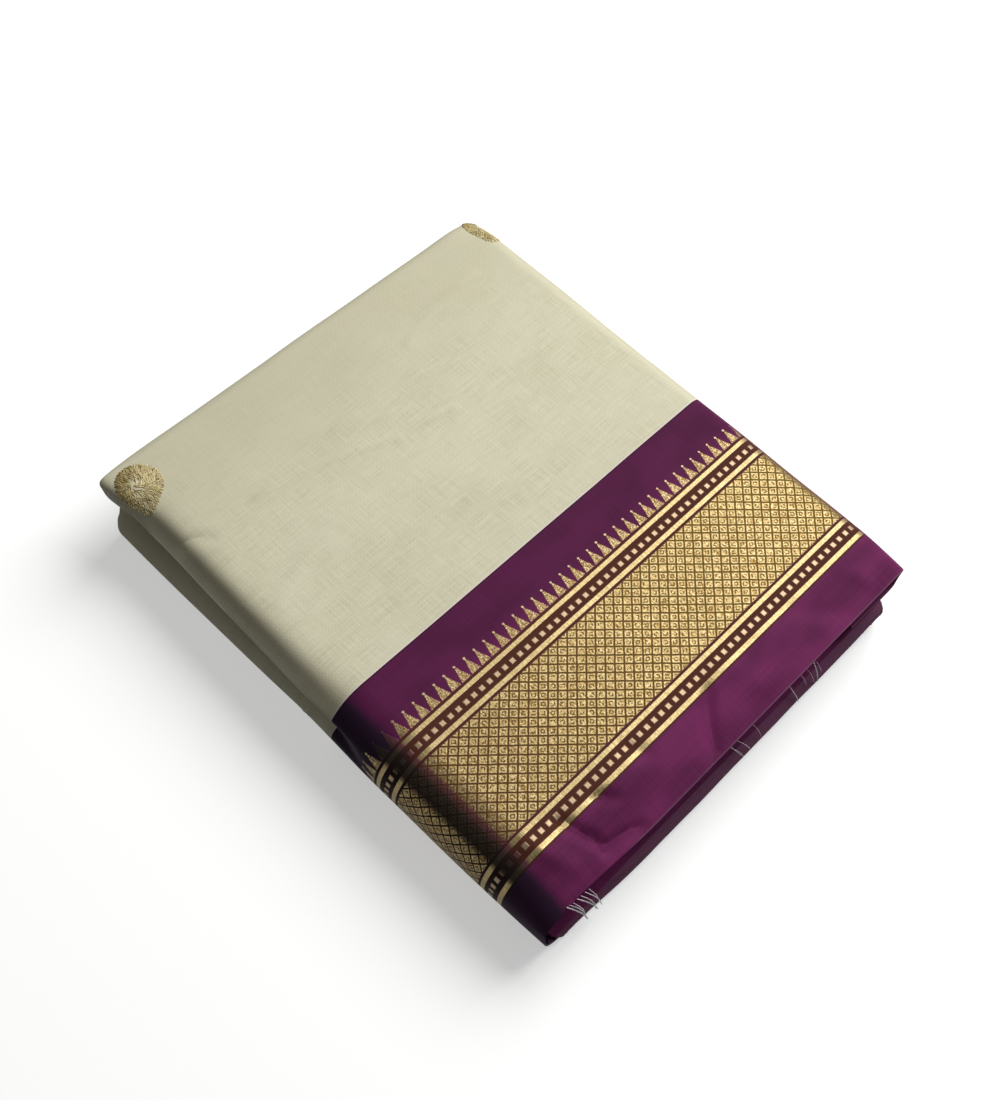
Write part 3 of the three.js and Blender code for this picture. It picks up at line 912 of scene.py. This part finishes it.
def pile_outline(k, z, upper, side, inset):
    """x and y round one level of the pile, seen from above."""
    far = far_of(k, z, upper, side) - side * inset
    loose = side < 0 and not upper
    corner = TIGHT_CORNER if loose else CORNER
    far_side = far - side * corner
    right_edge = right_of(k, z, upper) - inset
    ys = np.linspace(BORDER_LINE, far_side, 26)
    wave = uneven(ys, k * 1.3 + 5 * upper, 21)
    slide = LOOSE_END * smoothstep(BORDER_LINE - ys, 0, 80) * loose
    points = [(right_edge + d - WANDER * (1 + w), y) for d, y, w in zip(slide, ys, wave)]
    right_edge += slide[-1]
    for angle in np.linspace(0, math.pi / 2, 9)[1:-1]:
        points.append((right_edge - WANDER - corner * (1 - math.cos(angle)),
                       far_side + side * corner * math.sin(angle)))
    radius = LOOSE_CORNER if loose else CORNER
    left_corner = left_of(far_side, z) + INSIDE + inset + radius
    xs = np.linspace(right_edge - corner, left_corner, 70)
    amount = 0.25 if loose else 0.7
    back = DRAW_BACK + SHOULDER_BACK * float(smoothstep(z, 4, 11)) if loose else 0
    for x, w in zip(xs, uneven(xs, k * 2.1 + 3 * upper + side, 26)):
        drawn = back * float(smoothstep(-x, 55, 105))
        points.append((x, far - side * (amount * (1 + w) + drawn)))
    far, far_side = far - side * back, far_side - side * back
    for angle in np.linspace(0, math.pi / 2, 9)[1:-1]:
        y = far - side * radius * (1 - math.cos(angle))
        points.append((left_corner - radius * math.sin(angle), y))
    for y in np.linspace(far - side * radius, BORDER_LINE, 26):
        points.append((left_of(y, z) + INSIDE + inset, y))
    return np.array(points)


def pile(name, upper, side, material):
    """The hidden layers of one half, on the body's side or the border's."""
    base = MIDDLE + 0.15 if upper else STRIP + 0.3
    depth = 0.85 if side > 0 or upper else 0.3
    ply = PLY * UPPER_FILL if upper else PLY
    levels = [(k, share) for k in range(PLIES) for share in RIDGE] + [(PLIES - 1, 1.0)]
    points, coords = [], []
    for k, share in levels:
        z = base + (k + share) * ply
        inset = depth * (1 - math.sqrt(1 - (2 * share - 1) ** 2))
        x, y = pile_outline(k, z, upper, side, inset).T
        points.append(settled(x, y, np.full(len(x), z)))
        coords.append(np.stack([x + 1.4 * z, y], axis=1))
    around = [np.array(part).transpose(1, 0, 2) for part in (points, coords)]
    return make_piece(name, *around, material)


upper_body = pile("cream_layers_upper", True, 1, cream)
upper_border = pile("border_layers_upper", True, -1, purple)
lower_body = pile("cream_layers_lower", False, 1, cream)
lower_border = pile("border_layers_lower", False, -1, purple)

# %% [markdown]
# The body carries buttas, small paisley motifs of gold thread that lie as loose stitches
# on the cloth. They could be painted on, but real stitches stand up and catch the
# light. So each stitch is a short line that follows the cloth, also round a fold, and
# one Geometry Nodes tree turns all the lines into round threads.

# %% A tree that makes threads from lines
def thread_tree():
    tree = bpy.data.node_groups.new("threads_from_lines", "GeometryNodeTree")
    for name, way, kind in (
        ("Geometry", "INPUT", "Geometry"), ("Radius", "INPUT", "Float"),
        ("Sides", "INPUT", "Int"), ("Material", "INPUT", "Material"),
        ("Geometry", "OUTPUT", "Geometry"),
    ):
        tree.interface.new_socket(name, in_out=way, socket_type="NodeSocket" + kind)
    nodes = {name: tree.nodes.new(kind) for name, kind in (
        ("start", "NodeGroupInput"), ("lines", "GeometryNodeMeshToCurve"),
        ("ring", "GeometryNodeCurvePrimitiveCircle"), ("tube", "GeometryNodeCurveToMesh"),
        ("thick", "GeometryNodeInputNamedAttribute"), ("real", "GeometryNodeRealizeInstances"),
        ("finish", "GeometryNodeSetMaterial"), ("end", "NodeGroupOutput"),
    )}
    nodes["thick"].inputs["Name"].default_value = "thick"
    nodes["tube"].inputs["Fill Caps"].default_value = True
    for source, given, target, taken in (
        ("start", "Geometry", "lines", "Mesh"), ("start", "Radius", "ring", "Radius"),
        ("start", "Sides", "ring", "Resolution"), ("lines", "Curve", "tube", "Curve"),
        ("ring", "Curve", "tube", "Profile Curve"), ("thick", "Attribute", "tube", "Scale"),
        ("tube", "Mesh", "real", "Geometry"), ("real", "Geometry", "finish", "Geometry"),
        ("start", "Material", "finish", "Material"), ("finish", "Geometry", "end", "Geometry"),
    ):
        tree.links.new(nodes[source].outputs[given], nodes[target].inputs[taken])
    return tree


THREADS = thread_tree()


def thread_piece(name, strands, radius, sides, material):
    """One mesh of round threads. A strand is its points, tint and thickness."""
    points, edges, tints, thick = [], [], [], []
    for line, tint, width in strands:
        first = len(points)
        points += (np.asarray(line) * MM).tolist()
        edges += [(first + k, first + k + 1) for k in range(len(line) - 1)]
        tints += [tint] * len(line)
        taper = np.sin(math.pi * np.linspace(0.12, 0.88, len(line))) ** 0.5
        thick += (width * taper).tolist()
    mesh = bpy.data.meshes.new(name + "_lines")
    mesh.from_pydata(points, edges, [])
    for mark, values in (("tint", tints), ("thick", thick)):
        kept = mesh.attributes.new(mark, "FLOAT", "POINT")
        kept.data.foreach_set("value", values)
    source = bpy.data.objects.new(name + "_lines", mesh)
    bpy.context.collection.objects.link(source)
    modifier = source.modifiers.new("threads", "NODES")
    modifier.node_group = THREADS
    for socket in THREADS.interface.items_tree:
        given = {"Radius": radius * MM, "Sides": sides, "Material": material}.get(socket.name)
        if given is not None:
            modifier[socket.identifier] = given
    graph = bpy.context.evaluated_depsgraph_get()
    made = bpy.data.meshes.new_from_object(source.evaluated_get(graph))
    bpy.data.objects.remove(source)
    made.name = name
    made.polygons.foreach_set("use_smooth", np.ones(len(made.polygons), dtype=bool))
    piece = bpy.data.objects.new(name, made)
    bpy.context.collection.objects.link(piece)
    print(name, len(strands), "threads")
    return piece


# %% [markdown]
# A stitch has to follow the cloth round its folds. So its places are given in cloth
# coordinates, and two helpers find where each one lies, and which way is off the cloth.

# %% Places on the cloth
def cloth_point(u, s):
    """The point of the cream cloth at each u and s."""
    at_u = np.empty((len(body_grid), len(u), 4))
    for j, row in enumerate(np.concatenate([body_grid, body_cloth[..., 1:]], axis=2)):
        for k in range(4):
            at_u[j, :, k] = np.interp(-u, -body_cloth[j, :, 0], row[:, k])
    return np.array([[np.interp(s[n], at_u[:, n, 3], at_u[:, n, k]) for k in range(3)]
                     for n in range(len(u))])


def lifted(u, s, lift):
    """Those points moved off the cloth."""
    along = cloth_point(u + 0.25, s) - cloth_point(u - 0.25, s)
    across = cloth_point(u, s + 0.25) - cloth_point(u, s - 0.25)
    normal = np.cross(along, across)
    normal /= np.maximum(np.linalg.norm(normal, axis=1, keepdims=True), 1e-9)
    return cloth_point(u, s) + normal * lift[:, None]


# %% [markdown]
# A butta here is a paisley, the mango shape of Indian weaving: a thick crescent of gold
# on one side, a thinner band round the other, and a pale heart that lies off the middle.
# Its stitches stand on rings round the heart and point outwards, each a little out of
# line. The buttas are about 220 mm apart along the cloth. Two lie on the folds at the
# far edge and the third is underneath.

# %% The buttas
BUTTAS = [(-104.8, 122.5, 5), (118.5, 130.5, 6), (-325.0, 122.5, 7)]  # u, s and a seed
BUTTA_SIZE, BUTTA_TIP, TIP_ANGLE = 10.2, 3.8, math.radians(-110)
HEART_OFF, HEART_ANGLE = 3.4, math.radians(124)
THICK_ANGLE, DULL_ANGLE = math.radians(-30), math.radians(125)
RINGS = np.arange(0.97, 0.12, -0.075)  # as shares of the butta's size
STITCH_POINTS, STITCH_GAP, STITCH_RADIUS = 5, 0.5, 0.17
ABOVE_TABLE = 0.12  # the stitches underneath are pressed flat into the cloth


def butta_strands(u0, s0, seed):
    """The stitches of one paisley."""
    random = np.random.default_rng(seed)
    a, b, direction, tint = [], [], [], []
    for share in RINGS:
        count = int(2 * math.pi * BUTTA_SIZE * share / STITCH_GAP)
        for k in range(count):
            angle = 2 * math.pi * (k + random.uniform(-0.3, 0.3)) / count
            from_tip = (angle - TIP_ANGLE + math.pi) % (2 * math.pi) - math.pi
            size = BUTTA_SIZE + BUTTA_TIP * math.exp(-((from_tip / 0.5) ** 2))
            thick_side = 0.5 + 0.5 * math.cos(angle - THICK_ANGLE)
            inner = 0.76 - 0.42 * thick_side
            keep = 0.95 if share > inner else 0.7 if share > inner - 0.3 else 0.35
            jitter = random.uniform(0, 1)
            lean = random.normal(0, 0.3) + 1.5 * (1 - share) * (0.3 + 0.7 * thick_side)
            shade = random.beta(2.2, 2.0)
            if jitter > keep:
                continue
            r = size * share
            off = HEART_OFF * (1 - share)
            a.append(r * math.cos(angle) - 0.16 * max(0, -r * math.sin(angle) - 6)
                     + off * math.cos(HEART_ANGLE))
            b.append(r * math.sin(angle) + off * math.sin(HEART_ANGLE))
            direction.append(angle + lean)
            # Painted highlight: stitches on the thick side are lighter. More of them are dark
            # towards the dull side.
            dull_side = max(0.0, math.cos(angle - DULL_ANGLE))
            dark = 0.10 + 0.14 * (1 - thick_side) + 0.35 * dull_side
            bright = 0.35 + 0.3 * thick_side
            tint.append(0.3 * shade if jitter / keep < dark else bright + 0.35 * shade)
    a, b, direction = np.array(a), np.array(b), np.array(direction)
    half = random.uniform(0.6, 1.25, len(a))[:, None]
    t = np.linspace(-1, 1, STITCH_POINTS)[None, :]
    u = u0 + a[:, None] + half * t * np.cos(direction)[:, None]
    s = s0 + b[:, None] + half * t * np.sin(direction)[:, None]
    arch = 0.05 + random.uniform(0.12, 0.3, len(a))[:, None] * (1 - t**2)
    lines = lifted(u.ravel(), s.ravel(), arch.ravel()).reshape(len(a), STITCH_POINTS, 3)
    lines[..., 2] = np.maximum(lines[..., 2], ABOVE_TABLE)
    widths = random.uniform(0.75, 1.25, len(a))
    return list(zip(lines, tint, widths))


THREAD_DEEP, THREAD_GOLD = (0.20, 0.13, 0.045), (0.52, 0.42, 0.18)
THREAD_PALE = (0.76, 0.65, 0.36)


def gold_thread():
    loom = Loom("gold_thread")
    tint = loom.mark("tint")
    colour = loom.mix(loom.ramp(tint, 0.0, 0.4), THREAD_DEEP, THREAD_GOLD)
    colour = loom.mix(loom.ramp(tint, 0.45, 0.85), colour, THREAD_PALE)
    loom.set(Base_Color=colour, Roughness=0.5, Metallic=0.3, Specular_IOR_Level=0.25)
    return loom.material


strands = [strand for place in BUTTAS for strand in butta_strands(*place)]
buttas = thread_piece("gold_buttas", strands, STITCH_RADIUS, 4, gold_thread())

# %% [markdown]
# Where the weft turns back at the selvedge, a few white ends of it have come loose. They
# hang across the gap between the two halves, and a few finer ones lie over the side of
# the book fold. Each has its own two ends and its own bow, and the same tree makes them
# round.

# %% Loose ends of weft
LOOSE_ENDS = [
    # from x, y, z, to x, y, z, bow along x, thickness
    (-107.7, -133.6, 35.6, -94, -138.9, 3.5, 0.9, 2.1),
    (-106.2, -133.7, 35.4, -95.5, -138.7, 7, 1.3, 1.4),
    (-102.3, -134, 35.4, -88.5, -139.3, 5.5, 0.8, 1.8),
    (-100.3, -134.2, 35.4, -90.5, -139.2, 9, 1.2, 1.2),
    (-98, -134.4, 35.4, -87, -139.5, 8, 0.9, 1.3),
    (-104.6, -133.9, 35.4, -98, -138.2, 17, 0.6, 0.9),
    (-96, -134.6, 35.4, -90, -138.9, 16, 0.5, 0.8),
    (2, -131, 21.5, 10.5, -139.6, 10, 0.6, 0.7),
    (-1, -131, 21.5, 4, -139.6, 13, -0.5, 0.6),
    (-3, -131, 21.5, 3, -139, 16, 0.5, 0.5),
    (14, -131, 21.5, 18, -139.6, 10, 0.7, 0.5),
    (55.5, -132.5, 27, 58.5, -139.6, 10.5, -0.3, 1.3),
    (59, -131, 21.5, 59, -139, 17, 0.3, 0.5),
    (47, -132, 24, 48, -138.4, 18, 0.3, 0.5),
    (53, -131, 21.5, 54.5, -139.4, 14, 0.3, 0.5),
    (41, -131, 21.5, 45, -139.6, 9, -0.4, 1.1),
]
SIDE_HAIRS = [
    # from y, z, to y, z, bow, thickness
    (4, 17.2, 9.6, 7.5, 0.9, 0.7), (-1.6, 17, 7.6, 8, -0.8, 0.6),
    (2.4, 17, 7, 9, 0.6, 0.45), (-4, 17.2, 4.4, 8.5, 0.7, 0.5),
    (-6, 17, -1, 10.5, -0.5, 0.4), (6, 17.2, 3, 10, -0.6, 0.4),
]
strands = []
t = np.linspace(0, 1, 9)
hang = np.sin(math.pi * t)
for *ends, bow, width in LOOSE_ENDS:
    x, y, z = (lerp(ends[k], ends[k + 3], t) for k in range(3))
    line = np.stack([x + bow * hang, y - 0.9 * hang, z + 0.8 * hang], axis=1)
    strands.append((line, 0.9, width))
low_fold = np.arange(FOLD_START + FOLD_STEPS // 2 + 8, FOLD_START + FOLD_STEPS)
for y0, z0, y1, z1, bow, width in SIDE_HAIRS:
    y, z = lerp(y0, y1, t) + bow * hang, lerp(z0, z1, t)
    x = []
    for at_y, at_z in zip(y, z):
        across, heights = section(np.full(len(low_fold), at_y), low_fold)
        x.append(np.interp(-at_z, -heights, across) - 0.12)
    strands.append((np.stack([x, y, z], axis=1), 0.5, width))


WEFT_RADIUS = 0.2
WEFT_DULL, WEFT_WHITE = (0.30, 0.29, 0.22), (0.86, 0.80, 0.85)


def white_weft():
    loom = Loom("white_weft")
    colour = loom.mix(loom.mark("tint"), WEFT_DULL, WEFT_WHITE)
    loom.set(Base_Color=colour, Roughness=0.5, Specular_IOR_Level=0.4)
    return loom.material


loose_weft = thread_piece("loose_weft", strands, WEFT_RADIUS, 5, white_weft())

# %% [markdown]
# The table is a plain pale surface that glows a little, so that it stays white, and it
# throws no light back on the cloth. The light is one soft disc on the right, where the
# photo has it, so the gold faces it and the side of the book fold falls into shade. A
# faint even light fills the rest.

# %% Floor and light
def pale_table():
    loom = Loom("pale_table")
    loom.set(Base_Color=(0.62, 0.62, 0.615), Roughness=0.9, Specular_IOR_Level=0.1)
    loom.set(Emission_Color=(1.0, 1.0, 0.995), Emission_Strength=0.46)
    return loom.material


TABLE, TABLE_TOP = 4.0, -0.0001  # metres from its middle to its edge, and its height
mesh = bpy.data.meshes.new("table")
corners = [(-TABLE, -TABLE), (TABLE, -TABLE), (TABLE, TABLE), (-TABLE, TABLE)]
mesh.from_pydata([(x, y, TABLE_TOP) for x, y in corners], [], [(0, 1, 2, 3)])
mesh.materials.append(pale_table())
table = bpy.data.objects.new("table", mesh)
bpy.context.collection.objects.link(table)
table.visible_diffuse = False

LIGHT_FROM = Vector((0.66, 0.02, 0.78)).normalized()
LIGHT_AWAY, LIGHT_SIZE, LIGHT_POWER = 1.75, 1.4, 40.8
FILL_LIGHT = 0.14
soft_box = bpy.data.lights.new("soft_box", "AREA")
soft_box.shape, soft_box.size, soft_box.energy = "DISK", LIGHT_SIZE, LIGHT_POWER
lamp = bpy.data.objects.new("soft_box", soft_box)
lamp.location = LIGHT_FROM * LIGHT_AWAY
lamp.rotation_mode = "QUATERNION"
lamp.rotation_quaternion = LIGHT_FROM.to_track_quat("Z", "Y")
bpy.context.collection.objects.link(lamp)

world = bpy.data.worlds.new("studio")
world.use_nodes = True
background = world.node_tree.nodes["Background"]
background.inputs["Color"].default_value = (1.0, 1.0, 1.0, 1.0)
background.inputs["Strength"].default_value = FILL_LIGHT
bpy.context.scene.world = world
bpy.context.scene.view_settings.view_transform = "Standard"

# %% [markdown]
# Last, each piece is tied to the frame: it moves with the root, and the CAD part it
# takes the place of is hidden. The size of the outer strip's stretch that shows is worked
# out as it would be laid out flat, and printed.

# %% Tie the pieces to the frame
STANDS_FOR = {
    "outer_body": outer_body, "outer_border": outer_border,
    "upper_plies_body": upper_body, "lower_plies_body": lower_body,
    "upper_plies_border": upper_border, "lower_plies_border": lower_border,
}
for node, piece in STANDS_FOR.items():
    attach(piece, "root")
    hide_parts(node)
for piece in (buttas, loose_weft):
    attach(piece, "root")


def flat_size(grid, cloth):
    """Length and width of a stretch laid out flat, in metres."""
    length = float(np.ptp(cloth[0, :, 0])) * MM
    across = np.linalg.norm(np.diff(grid, axis=0), axis=2).sum(axis=0)
    return round(length, 4), round(float(across.mean()) * MM, 4)


body_flat = flat_size(body_grid, body_cloth)
border_flat = flat_size(border_grid, border_cloth_uv)
print("flat sizes in metres:", body_flat, border_flat)
